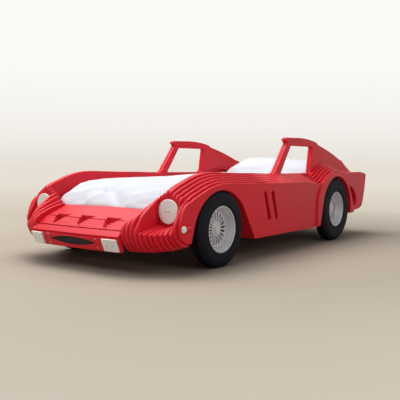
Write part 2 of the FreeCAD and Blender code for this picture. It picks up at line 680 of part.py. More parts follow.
def indicator_lamp():
    centre = indicator_centre()
    lamp = Part.makeCylinder(INDICATOR_R, INDICATOR_DEPTH, centre, Vector(0, -1, 0))
    rim = [e for e in lamp.Edges if e.BoundBox.YMax < centre.y - INDICATOR_DEPTH + 0.01]
    return outside_the_boards(lamp.makeFillet(INDICATOR_ROUND, rim))


# ---- screws --------------------------------------------------------------------------
def screw(place, outwards, length):
    """Countersunk-type screw whose head shows: low domed head over a plain shank."""
    head = Part.makeCylinder(SCREW_HEAD_R, SCREW_HEAD, place, outwards)
    shank = Part.makeCylinder(SCREW_R, length, place, outwards.negative())
    return head.fuse(shank)


def fascia_out(x, z, out):
    """Point and outward direction at a width and height on the bowed fascia."""
    y, height = on_fascia(z, out)
    axis_y = front(HOOD_TIP[0]) + NOSE_BOW_R
    turn = math.asin(x / (axis_y - y))
    top, foot = fascia_line()
    span = math.dist(top, foot)
    flat, rise = (top[1] - foot[1]) / span, (top[0] - foot[0]) / span
    place = Vector(x, axis_y - (axis_y - y) * math.cos(turn), height)
    return place, Vector(flat * math.sin(turn), -flat * math.cos(turn), rise)


def fascia_screw_places():
    x_out = GRILLE_LENGTH / 2 + 4
    return [(side * x_out, z) for side in (-1, 1) for z in (125.0, 172.0)]


def lamp_screw_places():
    """Place and direction of the small screws that hold the lamps."""
    places = []
    middle = (CORNER_LAMP_INNER + CORNER_LAMP_OUTER) / 2
    mid_z = (CORNER_LAMP_LOW_Z + CORNER_LAMP_HIGH_Z) / 2
    centre = indicator_centre()
    for side in (-1, 1):
        for spread in (-LAMP_SCREW_SPREAD * 2, LAMP_SCREW_SPREAD * 2):
            places.append(fascia_out(side * middle + spread, mid_z, CORNER_LAMP_DEPTH))
        for spread in (-LAMP_SCREW_SPREAD, LAMP_SCREW_SPREAD):
            places.append((Vector(side * HEADLAMP_X + spread,
                                  front(RECESS_BACK) - HEADLAMP_DEPTH, HEADLAMP_Z),
                           Vector(0, -1, 0)))
        places.append((Vector(side * centre.x, centre.y - INDICATOR_DEPTH, centre.z),
                       Vector(0, -1, 0)))
    return places


def front_screws():
    """Every screw that shows at the front, each on its own piece."""
    screws = [screw(*fascia_out(x, z, 0), FASCIA_SCREW_LENGTH) for x, z in fascia_screw_places()]
    return screws + [screw(place, outwards, LAMP_SCREW_LENGTH)
                     for place, outwards in lamp_screw_places()]


# ---- wheels --------------------------------------------------------------------------
def turned(points, centre_y, centre_z):
    """Solid turned about the wheel's axle from a profile of (x, radius) and arc spans."""
    edges = []
    here = Vector(points[0][0], 0, points[0][1])
    first = here
    for stop in points[1:] + [points[0]]:
        if stop[-2:] == (here.x, here.z):
            continue
        if len(stop) == 4:
            middle, end = Vector(stop[0], 0, stop[1]), Vector(stop[2], 0, stop[3])
            edges.append(Part.Arc(here, middle, end).toShape())
        else:
            end = Vector(stop[0], 0, stop[1])
            edges.append(Part.LineSegment(here, end).toShape())
        here = end
    solid = Part.Face(Part.Wire(edges)).revolve(Vector(0, 0, 0), Vector(1, 0, 0), 360)
    solid.translate(Vector(0, centre_y, centre_z))
    return solid


def tyre(radius, centre_y):
    inner = TYRE_FACE - TYRE_WIDTH
    s = TYRE_SHOULDER
    k = s * QUARTER
    bead = RIM_R + 6
    shape = turned([(inner + 5, RIM_R), (TYRE_FACE - 5, RIM_R),
                    (TYRE_FACE - 3.4, bead - 2, TYRE_FACE, bead + 8),
                    (TYRE_FACE, radius - s - 3), (TYRE_FACE - k, radius - k - 3, TYRE_FACE - s, radius - 2),
                    (TYRE_FACE - TYRE_WIDTH / 2, radius, inner + s, radius - 2),
                    (inner + k, radius - k - 3, inner, radius - s - 3),
                    (inner, bead + 8), (inner + 3.4, bead - 2, inner + 5, RIM_R)],
                   centre_y, radius - TYRE_FLAT)
    ground = box((0, 2 * SIDE_OUT), (centre_y - radius, centre_y + radius), (-radius, 0))
    return shape.cut(ground)


def rim(radius, centre_y):
    """Deep stepped rim with a spoked plate and a flat hub."""
    edge = TYRE_FACE - RIM_SETBACK
    back = edge - RIM_DEPTH
    plate = TYRE_FACE - SPOKE_PLATE_DEPTH
    centre_z = radius - TYRE_FLAT
    shape = turned([(back, RIM_R - 9), (back, RIM_R), (edge, RIM_R), (edge, RIM_R - 6),
                    (edge - 2, RIM_R - 9), (edge - 16, RIM_R - 12), (edge - 17, RIM_R - 18),
                    (edge - 34, RIM_R - 20), (edge - 35, RIM_R - 26), (plate, RIM_R - 28),
                    (plate, HUB_R), (plate + 6, HUB_R - 3), (plate + 6, 0.0),
                    (plate - SPOKE_PLATE, 0.0), (plate - SPOKE_PLATE, RIM_R - 18),
                    (back + 6, RIM_R - 9)], centre_y, centre_z)
    for number in range(SPOKES):
        shape = shape.cut(spoke_gap(number * 360.0 / SPOKES, centre_y, centre_z, plate))
    return shape


def spoke_gap(angle, centre_y, centre_z, plate):
    """Tapered gap between two spokes."""
    low_r, high_r = HUB_R + 4, RIM_R - 36
    share = math.radians(180.0 / SPOKES)
    low_w, high_w = low_r * share - 1.6, high_r * share - 2.6
    wire = outline((-low_w, low_r), ("line", (-high_w, high_r)),
                   ("arc", (0, high_r + 3), (high_w, high_r)),
                   ("line", (low_w, low_r), (-low_w, low_r)))
    gap = plank(wire, plate - 3 * SPOKE_PLATE, plate + 3)
    gap.rotate(Vector(0, 0, 0), Vector(1, 0, 0), angle)
    gap.translate(Vector(0, centre_y, centre_z))
    return gap


def hub_cap(radius, centre_y):
    base = TYRE_FACE - SPOKE_PLATE_DEPTH + 6
    cap = Part.makeCone(CAP_R, CAP_R - 4, CAP_HEIGHT, Vector(base, 0, 0), Vector(1, 0, 0))
    cap.translate(Vector(0, centre_y, radius - TYRE_FLAT))
    return cap


def wheel_mount(radius, centre_y):
    """Round block between the cabin panel and the back of the spoked plate."""
    reach = TYRE_FACE - SPOKE_PLATE_DEPTH - SPOKE_PLATE - PANEL_OUT
    return Part.makeCylinder(WHEEL_MOUNT_R, reach, Vector(PANEL_OUT, centre_y, radius - TYRE_FLAT),
                             Vector(1, 0, 0))


# ---- cross boards and bed base -------------------------------------------------------
def foot_board():
    """Upright board under the hood's rear end, between the first nose ribs."""
    top = HOOD_REAR[1] - HOOD_BOARD * 1.1 - 16
    return box((-HOOD_HALF, HOOD_HALF), (WELL_FOOT - CROSS_BOARD, WELL_FOOT), (SILL_Z, top))


def head_board():
    return box((-WELL_HALF, WELL_HALF), (WELL_HEAD, WELL_HEAD + CROSS_BOARD), (SILL_Z, DECK_Z - 8))


def tail_deck():
    """Board that closes the tail's top between the cabin panels."""
    return box((-WELL_HALF, WELL_HALF), (WELL_HEAD + CROSS_BOARD, rear(REAR_OVERHANG - 48)),
               (DECK_Z - 8 - CROSS_BOARD, DECK_Z - 8))


def tail_panel():
    """Raked board across the back, inside the outline of the sides."""
    tip = rear(REAR_OVERHANG)
    high, low = (tip - 20, DECK_Z - 30), (tip - 80, TAIL_BOTTOM_Z + 70)
    wire = outline(high, ("line", low, (low[0] - CROSS_BOARD, low[1]),
                          (high[0] - CROSS_BOARD * 1.03, high[1]), high))
    return plank(wire, -WELL_HALF, WELL_HALF)


def side_rail():
    return box((WELL_HALF - RAIL_WIDTH, WELL_HALF), (WELL_FOOT, WELL_HEAD),
               (SLAT_TOP_Z - SLAT - RAIL_HEIGHT, SLAT_TOP_Z - SLAT))


def slats():
    first = MATTRESS_FOOT + SLAT_WIDTH / 2
    pitch = (MATTRESS_LENGTH - SLAT_WIDTH) / (SLATS - 1)
    half = WELL_HALF - 2
    return [box((-half, half), (first + n * pitch - SLAT_WIDTH / 2, first + n * pitch + SLAT_WIDTH / 2),
                (SLAT_TOP_Z - SLAT, SLAT_TOP_Z)) for n in range(SLATS)]


def rail_bolts():
    """Bolts that hold the rails to the cabin panels, in line along each rail."""
    bolts = []
    height = SLAT_TOP_Z - SLAT - RAIL_HEIGHT / 2
    pitch = (WELL_HEAD - WELL_FOOT) / RAIL_BOLTS
    for number in range(RAIL_BOLTS):
        place = Vector(WELL_HALF - RAIL_WIDTH, WELL_FOOT + (number + 0.5) * pitch, height)
        head = Part.makeCylinder(BOLT_HEAD_R, BOLT_HEAD, place, Vector(-1, 0, 0))
        shank = Part.makeCylinder(BOLT_R, RAIL_WIDTH + BOARD, place, Vector(1, 0, 0))
        bolt = head.fuse(shank)
        bolts += [bolt, other_side(bolt)]
    return bolts


# ---- bedding -------------------------------------------------------------------------
def mattress():
    half = MATTRESS_WIDTH / 2
    low = SLAT_TOP_Z + SOFT_GAP
    block = box((-half, half), (MATTRESS_FOOT, MATTRESS_FOOT + MATTRESS_LENGTH),
                (low, low + MATTRESS_HEIGHT))
    upright = [e for e in block.Edges if abs(e.tangentAt(e.FirstParameter).z) > 0.99]
    block = block.makeFillet(MATTRESS_CORNER, upright)
    level = [e for e in block.Edges if e.BoundBox.ZLength < 0.01]
    return block.makeFillet(12.0, level)


def quilt_section(x, drop):
    """Quilt from its hem below the foot end, over the edge and up the bed, at one width."""
    top = SLAT_TOP_Z + SOFT_GAP + MATTRESS_HEIGHT + SOFT_GAP
    crest = top + QUILT_THICKNESS - drop
    foot = MATTRESS_FOOT - SOFT_GAP
    thick = 0.72 * (QUILT_THICKNESS - drop)
    head = MATTRESS_FOOT + MATTRESS_LENGTH - PILLOW_LENGTH - PILLOW_TO_QUILT
    hem = top - QUILT_TUCK
    stops = [(foot, top), (foot, hem), (foot - thick, hem), (foot - thick, top - 52)]
    bend = (foot - 0.55 * thick, top - 8)
    edge = (foot + 62, crest - 10)
    over = [(foot + 240, crest - 1), (head - 120, crest + 6), (head - 40, crest + 3)]
    edges = [Part.LineSegment(point(a, x), point(b, x)).toShape() for a, b in zip(stops, stops[1:])]
    edges.append(Part.Arc(point(stops[-1], x), point(bend, x), point(edge, x)).toShape())
    chain = [edge] + over
    edges += [Part.LineSegment(point(a, x), point(b, x)).toShape() for a, b in zip(chain, chain[1:])]
    nose = (head, (crest + top) / 2)
    edges.append(Part.Arc(point(chain[-1], x), point(nose, x), point((head - 14, top), x)).toShape())
    edges.append(Part.LineSegment(point((head - 14, top), x), point(stops[0], x)).toShape())
    return Part.Wire(edges)


def quilt():
    """Crowned quilt, thinner along its two long sides."""
    half = MATTRESS_WIDTH / 2 - QUILT_INSET
    sections = []
    for step in range(-QUILT_STEPS, QUILT_STEPS + 1):
        share = math.sin(step / QUILT_STEPS * math.pi / 2)
        drop = QUILT_SIDE_DROP - (QUILT_SIDE_DROP + QUILT_CROWN) * (1 - share ** 8) ** 0.5
        sections.append(quilt_section(share * half, drop))
    return Part.makeLoft(sections, True, True)


def pillow_section(x, scale):
    """Upright section of the pillow across one width: flat below, crowned towards the head."""
    low = SLAT_TOP_Z + SOFT_GAP + MATTRESS_HEIGHT + SOFT_GAP
    head = MATTRESS_FOOT + MATTRESS_LENGTH - 4 - (1 - scale) * 30
    foot = head - PILLOW_LENGTH * (0.86 + 0.14 * scale) + 4
    crown = low + PILLOW_HEIGHT * scale
    rise = PILLOW_PINCH * scale
    round_back = 1.6 * rise
    base = [(foot + rise, low), (head - round_back, low)]
    back = (head, low + round_back)
    top = (head - 0.36 * PILLOW_LENGTH, crown)
    fore = (foot, low + rise)
    bulges = [(head - QUARTER * round_back, low + QUARTER * round_back),
              (head - 0.09 * PILLOW_LENGTH, crown - 0.9 * rise),
              (foot + 0.3 * PILLOW_LENGTH, crown - 0.55 * rise),
              (foot + QUARTER * rise, low + QUARTER * rise)]
    edges = [Part.LineSegment(point(base[0], x), point(base[1], x)).toShape()]
    here = base[1]
    for bulge, stop in zip(bulges, (back, top, fore, base[0])):
        edges.append(Part.Arc(point(here, x), point(bulge, x), point(stop, x)).toShape())
        here = stop
    return Part.Wire(edges)


def pillow():
    half = PILLOW_WIDTH / 2
    widths = [(-1.0, 0.30), (-0.9, 0.62), (-0.62, 0.93), (-0.3, 1.0), (0.05, 0.97), (0.4, 0.9),
              (0.72, 0.86), (0.92, 0.6), (1.0, 0.30)]
    return Part.makeLoft([pillow_section(share * half, scale) for share, scale in widths], True, True)


# ---- build ---------------------------------------------------------------------------
def both_sides(name, shape):
    save(name + "_left", other_side(shape))
    save(name + "_right", shape)


def main():
    os.makedirs("parts", exist_ok=True)
    for number in range(1, NOSE_RIBS + 1):
        both_sides("nose_rib_%d" % number, nose_rib(number))
    bolts = Part.makeCompound(rail_bolts())
    screws = Part.makeCompound(front_screws())
    both_sides("cabin_panel_inner", cabin_panel(1).cut(bolts))
    both_sides("cabin_panel_outer", cabin_panel(2))
    cuts = {4: louvre_slots() + [vent_hole()], 5: louvre_slots() + [vent_hole()]}
    for number in range(1, FENDER_RIBS + 1):
        rib = fender_rib(number)
        for tool in cuts.get(number, []):
            rib = rib.cut(tool)
        both_sides("fender_rib_%d" % number, rib)
    both_sides("wheel_flare", wheel_flare())
    both_sides("indicator_pod", indicator_pod())
    both_sides("headlamp", headlamp().cut(screws))
    both_sides("corner_lamp", corner_lamp().cut(screws))

    for name, shape in zip(("hood_rear_board", "hood_scoop_board", "hood_lip"), hood_shapes()):
        save(name, shape)
    fascia, grille = fascia_shapes()
    save("fascia_board", fascia.cut(screws))
    save("grille_panel", grille)
    save("front_screws", *screws.Solids)
    lamp = indicator_lamp().cut(screws)
    save("indicator_lamps", lamp, other_side(lamp))

    caps, mounts = [], []
    for end, radius, centre_y in (("front", FRONT_TYRE_R, FRONT_AXLE), ("rear", REAR_TYRE_R, REAR_AXLE)):
        both_sides("tyre_" + end, tyre(radius, centre_y))
        both_sides("rim_" + end, rim(radius, centre_y))
        for made, group in ((hub_cap(radius, centre_y), caps), (wheel_mount(radius, centre_y), mounts)):
            group += [made, other_side(made)]
    save("hub_caps", *caps)
    save("wheel_mounts", *mounts)

    save("foot_board", foot_board())
    save("head_board", head_board())
    save("tail_boards", tail_deck(), tail_panel())
    rail = side_rail().cut(bolts)
    save("side_rails", rail, other_side(rail))
    save("slats", *slats())
    save("rail_bolts", *bolts.Solids)
    save("mattress", mattress())
    save("quilt", quilt())
    save("pillow", pillow())


main()
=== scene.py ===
"""Looks of the children's car bed: lacquered boards, wheels, lamps, bedding, plain studio."""
import json
import math
import bmesh
import bpy
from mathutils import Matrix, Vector

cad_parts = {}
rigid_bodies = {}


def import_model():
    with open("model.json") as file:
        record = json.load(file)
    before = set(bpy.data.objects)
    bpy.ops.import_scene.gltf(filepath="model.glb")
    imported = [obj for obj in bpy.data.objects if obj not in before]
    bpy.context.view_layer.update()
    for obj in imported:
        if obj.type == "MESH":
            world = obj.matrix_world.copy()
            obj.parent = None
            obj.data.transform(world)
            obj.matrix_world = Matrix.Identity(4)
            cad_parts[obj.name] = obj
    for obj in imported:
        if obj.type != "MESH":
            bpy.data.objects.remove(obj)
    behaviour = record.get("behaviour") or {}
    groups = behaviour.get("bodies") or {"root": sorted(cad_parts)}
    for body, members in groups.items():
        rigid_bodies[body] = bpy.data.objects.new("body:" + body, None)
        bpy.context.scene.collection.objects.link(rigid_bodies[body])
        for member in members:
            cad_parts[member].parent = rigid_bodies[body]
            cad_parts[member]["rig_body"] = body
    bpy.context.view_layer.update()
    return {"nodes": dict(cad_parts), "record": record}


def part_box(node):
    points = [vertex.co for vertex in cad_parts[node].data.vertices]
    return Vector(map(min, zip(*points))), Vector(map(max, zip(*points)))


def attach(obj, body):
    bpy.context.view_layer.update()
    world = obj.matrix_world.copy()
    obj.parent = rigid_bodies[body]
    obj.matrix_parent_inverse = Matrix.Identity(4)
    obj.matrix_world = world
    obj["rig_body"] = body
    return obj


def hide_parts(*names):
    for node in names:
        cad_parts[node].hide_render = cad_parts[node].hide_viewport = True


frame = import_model()
nodes = frame["nodes"]

# ---- camera --------------------------------------------------------------------------
camera = bpy.data.objects.new("camera", bpy.data.cameras.new("camera"))
bpy.context.scene.collection.objects.link(camera)
bpy.context.scene.camera = camera
camera.data.lens = 51.69
camera.data.shift_y = -0.00125
camera.location = (2.292, -3.186, 0.5334)
camera.rotation_euler = (math.radians(90 - 3.384), math.radians(-0.118), math.radians(37.103))


# ---- shader maths --------------------------------------------------------------------
class Value:
    """A socket of a finish; arithmetic on it adds Math nodes."""

    def __init__(self, finish, socket):
        self.finish = finish
        self.socket = socket

    def maths(self, operation, *values):
        return self.finish.node("Math", {"operation": operation}, dict(enumerate(values)))

    def __add__(self, other):
        return self.maths("ADD", self, other)

    def __sub__(self, other):
        return self.maths("SUBTRACT", self, other)

    def __rsub__(self, other):
        return self.maths("SUBTRACT", other, self)

    def __mul__(self, other):
        return self.maths("MULTIPLY", self, other)

    def __pow__(self, other):
        return self.maths("POWER", self, other)

    __radd__ = __add__
    __rmul__ = __mul__


class Graph:
    """A node tree written as expressions on Value."""

    def __init__(self, tree):
        self.tree = tree

    def node(self, kind, settings, inputs, output=0):
        """Add a node with its settings made first, then its sockets; give one output."""
        node = self.tree.nodes.new("ShaderNode" + kind)
        for name, value in settings.items():
            if name == "stops":
                ramp(node.color_ramp, value)
            else:
                setattr(node, name, value)
        for name, value in inputs.items():
            if isinstance(value, Value):
                self.tree.links.new(value.socket, node.inputs[name])
            else:
                node.inputs[name].default_value = value
        return Value(self, node.outputs[output])

    def band(self, value, low, high, start=0.0, end=1.0):
        """Value remapped from low..high to start..end and held there."""
        return self.node("MapRange", {}, {"Value": value, "From Min": low, "From Max": high,
                                          "To Min": start, "To Max": end})

    def blend(self, amount, first, second):
        return self.node("Mix", {"data_type": "RGBA"},
                         {"Factor": amount, 6: first, 7: second}, 2)

    def seen_directly(self):
        """1 where the camera, glass or a gloss looks at the backdrop, 0 where it only lights."""
        seen = [self.node("LightPath", {}, {}, "Is " + ray + " Ray")
                for ray in ("Camera", "Glossy", "Transmission")]
        return self.node("Clamp", {}, {"Value": seen[0] + seen[1] + seen[2]})


class Finish(Graph):
    """A material of the object or of the studio."""

    def __init__(self, name, constants):
        self.material = bpy.data.materials.new(name)
        self.material.use_nodes = True
        super().__init__(self.material.node_tree)
        self.shader = self.tree.nodes["Principled BSDF"]
        for socket, value in constants.items():
            self.shader.inputs[socket].default_value = value
        self.place = self.node("TexCoord", {}, {}, "Object")

    def noise(self, scale, detail=3.0, place=None):
        return self.node("TexNoise", {}, {"Vector": place or self.place, "Scale": scale,
                                          "Detail": detail})

    def threads(self, direction, scale, distortion=0.0):
        return self.node("TexWave", {"bands_direction": direction},
                         {"Vector": self.place, "Scale": scale, "Distortion": distortion})

    def stretched(self, x, y, z):
        return self.node("Mapping", {}, {"Vector": self.place, "Scale": (x, y, z)})

    def bump(self, height, strength, distance):
        return self.node("Bump", {}, {"Height": height, "Strength": strength,
                                      "Distance": distance})

    def wear(self, **links):
        names = {"colour": "Base Color", "roughness": "Roughness", "normal": "Normal"}
        for name, value in links.items():
            self.tree.links.new(value.socket, self.shader.inputs[names[name]])
        return self.material


def ramp(colours, stops):
    while len(colours.elements) < len(stops):
        colours.elements.new(1.0)
    for element, (place, colour) in zip(colours.elements, stops):
        element.position = place
        element.color = colour


# ---- finishes ------------------------------------------------------------------------
def red_lacquer():
    """Sprayed satin lacquer over board: faint orange peel, uneven sheen, darker patches."""
    paint = Finish("red_lacquer", {"Specular IOR Level": 0.24})
    cloudy = paint.noise(2.2, 2.0)
    patches = paint.noise(34.0, 4.0)
    tone = paint.blend(paint.band(cloudy, 0.35, 0.65), (0.68, 0.011, 0.026, 1),
                       (0.76, 0.014, 0.033, 1))
    tone = paint.blend(paint.band(patches, 0.3, 0.8, 0.0, 0.28), tone, (0.58, 0.008, 0.018, 1))
    peel = paint.noise(420.0, 2.0) + paint.noise(95.0, 2.0) * 0.8
    sheen = paint.band(patches + cloudy, 0.7, 1.3, 0.36, 0.47)
    return paint.wear(colour=tone, roughness=sheen, normal=paint.bump(peel, 0.12, 0.0012))


def lamp_lacquer():
    """Off-white painted discs and plates, a little warmer in soft clouds."""
    paint = Finish("lamp_lacquer", {"Specular IOR Level": 0.45})
    cloudy = paint.noise(9.0, 3.0)
    tone = paint.blend(paint.band(cloudy, 0.35, 0.7), (0.86, 0.85, 0.82, 1), (0.90, 0.90, 0.87, 1))
    peel = paint.noise(380.0, 2.0)
    return paint.wear(colour=tone, roughness=paint.band(peel, 0.3, 0.7, 0.38, 0.5),
                      normal=paint.bump(peel, 0.1, 0.001))


def grille_cloth():
    """Dark inset behind the mouth, with a fine woven look."""
    paint = Finish("grille_mesh", {"Specular IOR Level": 0.3})
    across = paint.threads("X", 95.0)
    upright = paint.threads("Z", 95.0)
    grid = across * upright
    tone = paint.blend(grid, (0.016, 0.012, 0.018, 1), (0.036, 0.031, 0.042, 1))
    return paint.wear(colour=tone, roughness=paint.band(grid, 0.0, 1.0, 0.75, 0.55),
                      normal=paint.bump(grid, 0.4, 0.001))


def rubber():
    """Tyre rubber: near-black with a blue cast, dusty in patches."""
    paint = Finish("tyre_rubber", {"Specular IOR Level": 0.12})
    dust = paint.noise(24.0, 5.0)
    tone = paint.blend(paint.band(dust, 0.35, 0.75), (0.0060, 0.0060, 0.0105, 1),
                       (0.0125, 0.0120, 0.0190, 1))
    grain = paint.noise(520.0, 2.0)
    return paint.wear(colour=tone, roughness=paint.band(dust, 0.3, 0.7, 0.6, 0.78),
                      normal=paint.bump(grain, 0.25, 0.0008))


def silver_paint():
    """Rims: silver paint with fine flake and duller patches."""
    paint = Finish("rim_silver_paint", {"Specular IOR Level": 0.5, "Metallic": 0.12})
    flake = paint.noise(900.0, 1.0)
    cloudy = paint.noise(14.0, 4.0)
    tone = paint.blend(paint.band(cloudy, 0.3, 0.75), (0.56, 0.55, 0.59, 1),
                       (0.70, 0.69, 0.73, 1))
    return paint.wear(colour=tone, roughness=paint.band(cloudy, 0.3, 0.7, 0.32, 0.44),
                      normal=paint.bump(flake, 0.08, 0.0006))


def brushed_steel():
    """Screw heads and bolts with fine turning marks."""
    paint = Finish("screw_brushed", {"Metallic": 1.0})
    marks = paint.noise(60.0, 3.0, paint.stretched(1.0, 14.0, 1.0))
    tone = paint.blend(marks, (0.42, 0.40, 0.38, 1), (0.62, 0.60, 0.58, 1))
    return paint.wear(colour=tone, roughness=paint.band(marks, 0.3, 0.7, 0.28, 0.42),
                      normal=paint.bump(marks, 0.15, 0.0005))


def pine():
    """Planed pine of the rails and slats: long grain with darker rings."""
    paint = Finish("pine_slat", {"Specular IOR Level": 0.3})
    grain = paint.noise(5.0, 6.0, paint.stretched(1.4, 22.0, 22.0))
    rings = paint.noise(3.0, 3.0, paint.stretched(0.9, 9.0, 9.0))
    tone = paint.blend(paint.band(grain, 0.35, 0.7), (0.56, 0.38, 0.20, 1),
                       (0.72, 0.54, 0.33, 1))
    tone = paint.blend(paint.band(rings, 0.55, 0.75, 0.0, 0.4), tone, (0.42, 0.25, 0.12, 1))
    return paint.wear(colour=tone, roughness=paint.band(grain, 0.3, 0.7, 0.5, 0.65),
                      normal=paint.bump(grain, 0.2, 0.001))


def cotton(name, warm, cool, thread):
    """Woven cotton: crossing threads, soft slubs and a faint change of tone."""
    paint = Finish(name, {"Specular IOR Level": 0.2, "Sheen Weight": 0.25,
                          "Sheen Roughness": 0.5})
    soft = paint.noise(5.0, 3.0)
    warp = paint.threads("X", thread, 0.6)
    weft = paint.threads("Y", thread, 0.6)
    weave = (warp + weft) * 0.5
    tone = paint.blend(paint.band(soft, 0.35, 0.65), warm, cool)
    slub = paint.noise(130.0, 3.0)
    return paint.wear(colour=tone, roughness=paint.band(slub, 0.3, 0.7, 0.78, 0.9),
                      normal=paint.bump(weave + slub * 0.7, 0.22, 0.0006))


RED = red_lacquer()
WHITE = lamp_lacquer()
GRILLE = grille_cloth()
RUBBER = rubber()
SILVER = silver_paint()
STEEL = brushed_steel()
PINE = pine()
LINEN = cotton("duvet_cotton", (0.74, 0.77, 0.83, 1), (0.70, 0.73, 0.81, 1), 160.0)
TICKING = cotton("mattress_ticking", (0.78, 0.77, 0.74, 1), (0.72, 0.71, 0.68, 1), 110.0)
SLOTS = {"red_paint": RED, "lamp_white": WHITE, "grille_black": GRILLE, "tyre_black": RUBBER,
         "rim_silver": SILVER, "screw_steel": STEEL, "base_wood": PINE, "bed_linen": LINEN}


def dress(piece, material):
    piece.data.materials.clear()
    piece.data.materials.append(material)


SLOT_OF = {part["node"]: part["material_slot"] for part in frame["record"]["subparts"]}
for name, node in nodes.items():
    dress(node, SLOTS[SLOT_OF[name]])


# ---- modelling helpers ---------------------------------------------------------------
SAME_POINT = 0.0006         # points of a CAD mesh nearer than this are merged
SAME_PLANE = 0.6            # degrees between facets of a CAD mesh that are one face
BOARD_EASE = 0.005          # rounding of the cabin boards' edges
RIB_EASE = 0.0036           # of the fender boards' edges
EDGE_EASE = 0.002           # of the other boards' edges
HOOD_EASE = 0.0011          # of the hood boards' edges
HOOD_GAP = 0.008            # shadow gap ahead of each hood board


def alone(piece):
    """Leave only this piece selected and active."""
    bpy.ops.object.select_all(action="DESELECT")
    piece.select_set(True)
    bpy.context.view_layer.objects.active = piece


def apply_modifiers(piece):
    alone(piece)
    for modifier in list(piece.modifiers):
        bpy.ops.object.modifier_apply(modifier=modifier.name)


def keep_place(piece):
    """Put the piece's place in its mesh, so that its object sits at the origin."""
    alone(piece)
    bpy.ops.object.transform_apply(location=True, rotation=True, scale=True)


def finish_piece(piece, node, material):
    """Dress a piece, put it in its node's place and let it ride on that node's body."""
    dress(piece, material)
    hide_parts(node)
    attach(piece, nodes[node]["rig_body"])
    return piece


def copy_of(node, name):
    """Merged copy of a CAD node's mesh as a piece of its own."""
    piece = nodes[node].copy()
    piece.data = nodes[node].data.copy()
    for key in list(piece.keys()):
        del piece[key]
    piece.name = name
    piece.parent = None
    bpy.context.scene.collection.objects.link(piece)
    alone(piece)
    bpy.ops.object.mode_set(mode="EDIT")
    bpy.ops.mesh.select_all(action="SELECT")
    bpy.ops.mesh.remove_doubles(threshold=SAME_POINT)
    bpy.ops.mesh.dissolve_limited(angle_limit=math.radians(SAME_PLANE))
    bpy.ops.object.mode_set(mode="OBJECT")
    return piece


def bevelled(piece, width, segments=2, angle=35):
    bevel = piece.modifiers.new("ease", "BEVEL")
    bevel.width = width
    bevel.segments = segments
    bevel.limit_method = "ANGLE"
    bevel.angle_limit = math.radians(angle)
    bevel.use_clamp_overlap = False
    return bevel


def soft_edged(node, name, width):
    """Copy of a CAD board with its sharp edges eased as a router and paint leave them."""
    piece = copy_of(node, name)
    bevelled(piece, width, 3).miter_outer = "MITER_ARC"
    inside = piece.modifiers.new("inside_the_board", "SHRINKWRAP")
    inside.target = nodes[node]
    inside.wrap_mode = "INSIDE"
    apply_modifiers(piece)
    shaded(piece)
    return finish_piece(piece, node, nodes[node].data.materials[0])


def shaded(piece):
    """Smooth shading that keeps the large flat faces flat beside their eased edges."""
    bpy.ops.object.shade_smooth_by_angle(angle=math.radians(33))
    flat = piece.modifiers.new("flat_faces", "WEIGHTED_NORMAL")
    flat.keep_sharp = True
    flat.weight = 90
    apply_modifiers(piece)


def pick(piece, test):
    """Select, in edit mode, the faces whose centre and normal pass the test."""
    bpy.ops.mesh.select_mode(type="FACE")
    bpy.ops.mesh.select_all(action="DESELECT")
    cage = bmesh.from_edit_mesh(piece.data)
    for face in cage.faces:
        if test(face.calc_center_median(), face.normal):
            face.select_set(True)
    cage.select_flush_mode()
    bmesh.update_edit_mesh(piece.data)


def turned(name, hub, rings, steps, closed=True):
    """Piece drawn out of a circle round an axle along X, one extrusion for each (x, radius)."""
    bpy.ops.object.select_all(action="DESELECT")
    x, radius = rings[0]
    bpy.ops.mesh.primitive_circle_add(vertices=steps, radius=radius, location=(x, hub.y, hub.z),
                                      rotation=(0, math.pi / 2, 0))
    piece = bpy.context.active_object
    piece.name = name
    keep_place(piece)
    bpy.ops.object.mode_set(mode="EDIT")
    bpy.ops.mesh.select_mode(type="EDGE")
    bpy.ops.mesh.select_all(action="SELECT")
    for next_x, next_radius in rings[1:] + rings[:1] * closed:
        bpy.ops.mesh.extrude_region_move(TRANSFORM_OT_translate={"value": (next_x - x, 0, 0)})
        share = next_radius / radius
        bpy.ops.transform.resize(value=(1, share, share), center_override=(next_x, hub.y, hub.z))
        x, radius = next_x, next_radius
    bpy.ops.mesh.select_all(action="SELECT")
    bpy.ops.mesh.remove_doubles(threshold=0.00002)
    bpy.ops.mesh.normals_make_consistent(inside=False)
    bpy.ops.object.mode_set(mode="OBJECT")
    return piece


def capped(piece):
    """Close the open ends of a turned piece."""
    alone(piece)
    bpy.ops.object.mode_set(mode="EDIT")
    bpy.ops.mesh.select_all(action="SELECT")
    bpy.ops.mesh.fill_holes(sides=0)
    bpy.ops.mesh.normals_make_consistent(inside=False)
    bpy.ops.object.mode_set(mode="OBJECT")
    return piece


def copied(piece, name, shift, mirrored):
    """Copy with its own mesh, moved along and, for the left side, mirrored."""
    other = piece.copy()
    other.data = piece.data.copy()
    other.name = name
    bpy.context.scene.collection.objects.link(other)
    other.location = shift
    keep_place(other)
    if mirrored:
        bpy.ops.object.mode_set(mode="EDIT")
        bpy.ops.mesh.select_all(action="SELECT")
        bpy.ops.transform.resize(value=(-1, 1, 1), center_override=(0, 0, 0))
        bpy.ops.mesh.normals_make_consistent(inside=False)
        bpy.ops.object.mode_set(mode="OBJECT")
    return other


# ---- boards --------------------------------------------------------------------------
for side in ("left", "right"):
    for board in ("inner", "outer"):
        which = "%s_%s" % (board, side)
        soft_edged("cabin_panel_" + which, "cabin_board_" + which, BOARD_EASE)
    for number in range(1, 6):
        which = "%d_%s" % (number, side)
        soft_edged("fender_rib_" + which, "fender_board_" + which, RIB_EASE)
for node in ("hood_lip", "fascia_board", "foot_board", "head_board", "tail_boards", "side_rails",
             "slats"):
    soft_edged(node, node + "_eased", EDGE_EASE)


